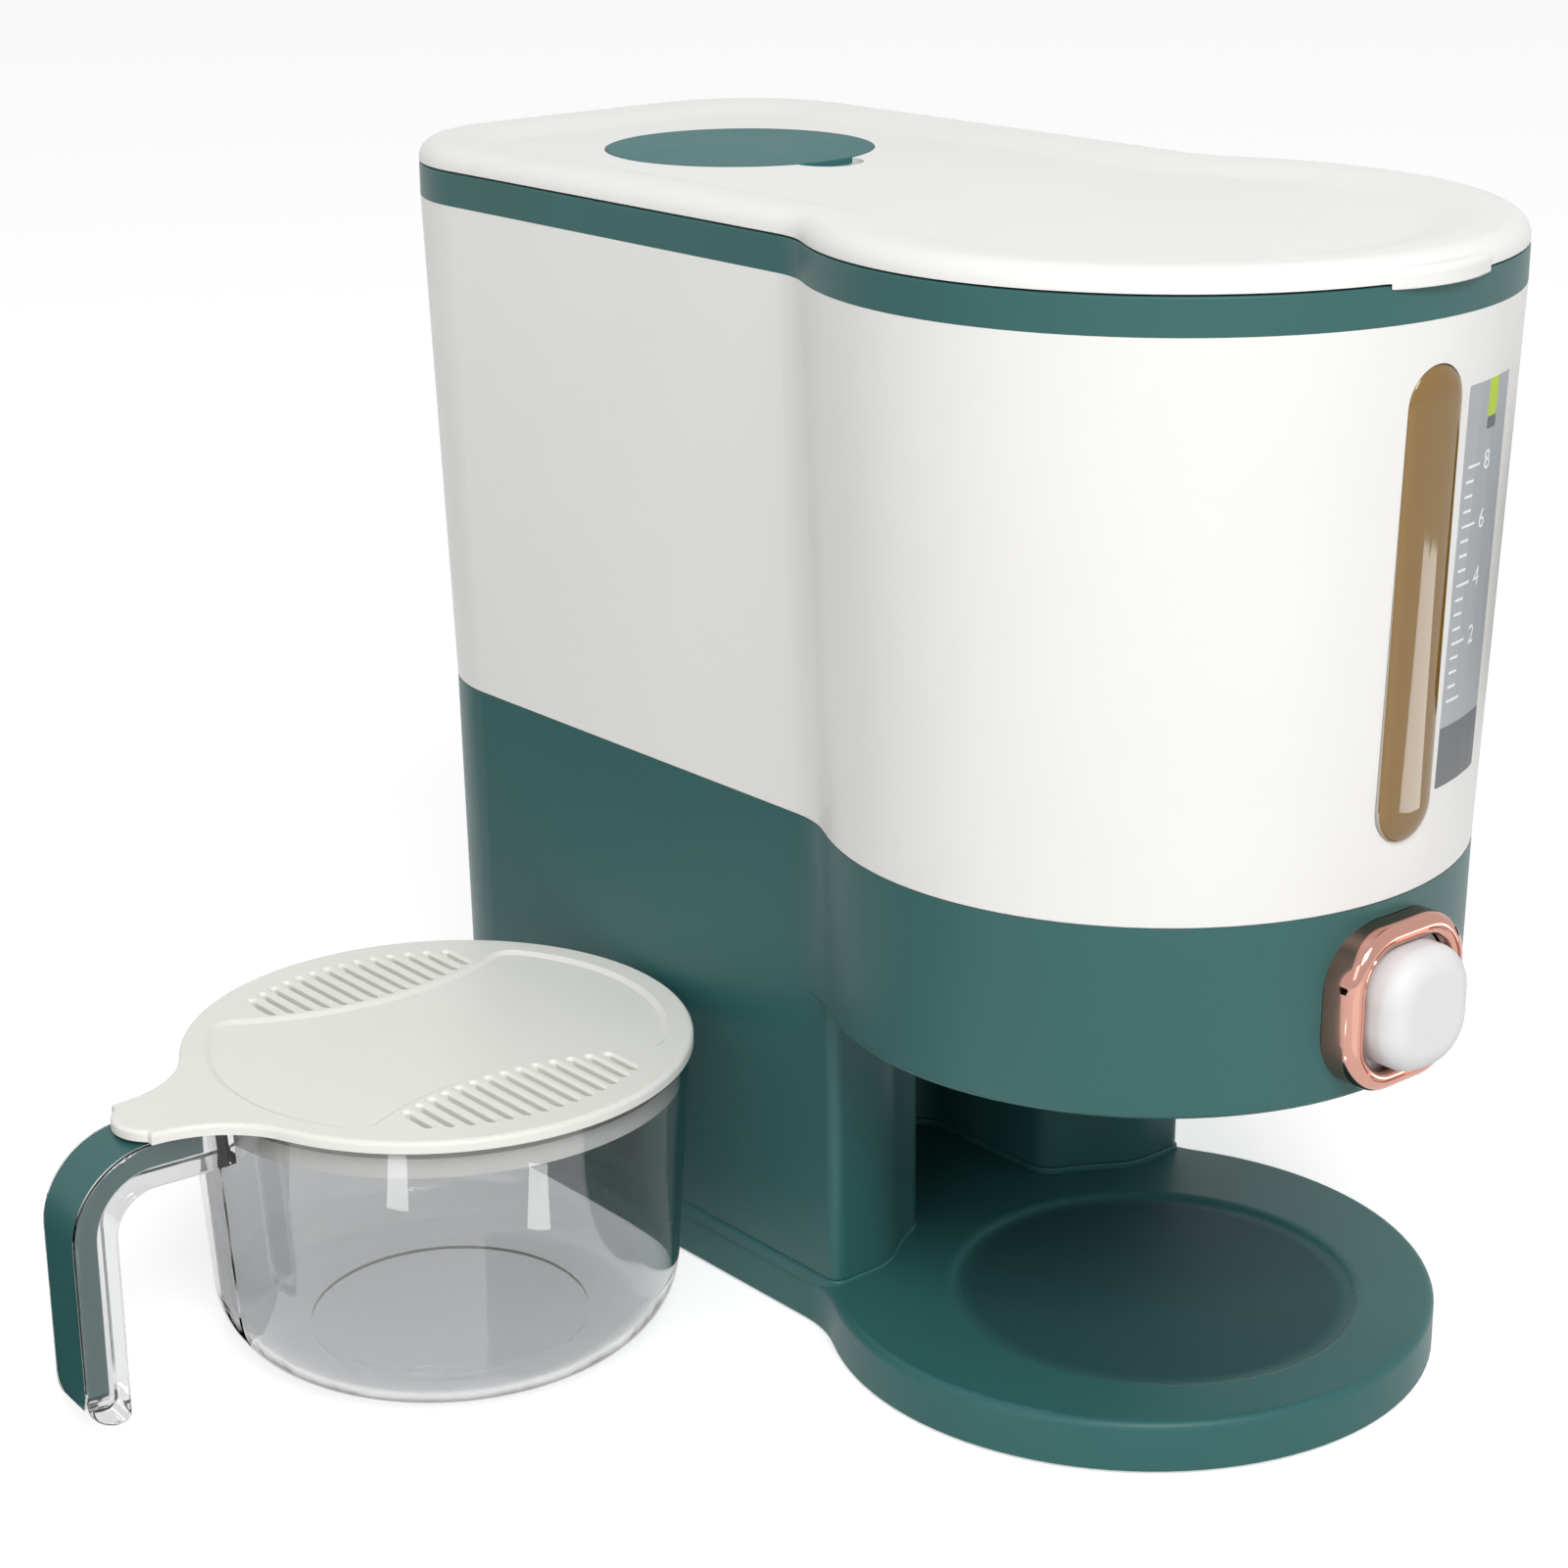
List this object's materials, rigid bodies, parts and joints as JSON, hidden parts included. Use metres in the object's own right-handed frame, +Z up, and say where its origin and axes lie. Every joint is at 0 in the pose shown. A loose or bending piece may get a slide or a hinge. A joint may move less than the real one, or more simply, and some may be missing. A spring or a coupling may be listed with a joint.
{
  "type": "rice dispenser",
  "caption": "Countertop rice dispenser: drafted keyhole tank over a cup bay, funnel hopper with a push-button shutter, lift-off lid, and a clear measuring cup with a straining lid.",
  "frame": {"origin": "middle of the dispenser's footprint, at the surface that it stands on", "axes": "+Z up, -Y to the front with the push button, +X to the right seen from behind the cup; the cup stands on the -X side"},
  "size_m": [0.38, 0.3802, 0.34],
  "materials": {
    "green_plastic": "satin moulded, dark teal green",
    "white_plastic": "satin moulded, warm white",
    "cream_plastic": "satin moulded, creamy white",
    "hopper_plastic": "moulded, natural white",
    "clear_plastic": "clear, polished",
    "rose_gold_plating": "plated plastic, polished rose gold",
    "rubber": "matte",
    "silicone": "soft, translucent white",
    "steel": "zinc plated"
  },
  "bodies": {
    "housing": {"base_tray": "green_plastic", "foot_pads": "rubber", "base_screws": "steel", "lower_body": "green_plastic", "tank": "white_plastic", "rim_band": "green_plastic", "window_lens": "clear_plastic", "hopper": "hopper_plastic", "gate_guide": "hopper_plastic", "guide_screws": "steel", "outlet_spout": "green_plastic", "return_spring": "steel", "button_bezel": "rose_gold_plating"},
    "button": {"button_cap": "white_plastic", "shutter_gate": "hopper_plastic", "button_screw": "steel"},
    "lid": {"lid": "white_plastic", "lid_seal": "silicone", "desiccant_box": "white_plastic"},
    "cap": {"desiccant_cap": "green_plastic"},
    "cup": {"cup": "clear_plastic", "handle_insert": "green_plastic"},
    "cup_lid": {"cup_lid": "cream_plastic"}
  },
  "joints": [
    {"name": "button_press", "type": "slide", "parent": "housing", "child": "button", "axis": [0, 1, 0], "range_m": [0, 0.009], "stiffness_N_per_m": 400, "springref_m": -0.004, "deforming": ["return_spring"]},
    {"name": "lid_lift", "type": "slide", "parent": "housing", "child": "lid", "axis": [0, 0, 1], "range_m": [0, 0.08]},
    {"name": "cap_lift", "type": "slide", "parent": "lid", "child": "cap", "axis": [0, 0, 1], "range_m": [0, 0.05]},
    {"name": "cup_lift", "type": "slide", "parent": "housing", "child": "cup", "axis": [0, 0, 1], "range_m": [0, 0.05]},
    {"name": "cup_lid_lift", "type": "slide", "parent": "cup", "child": "cup_lid", "axis": [0, 0, 1], "range_m": [0, 0.04]}
  ]
}
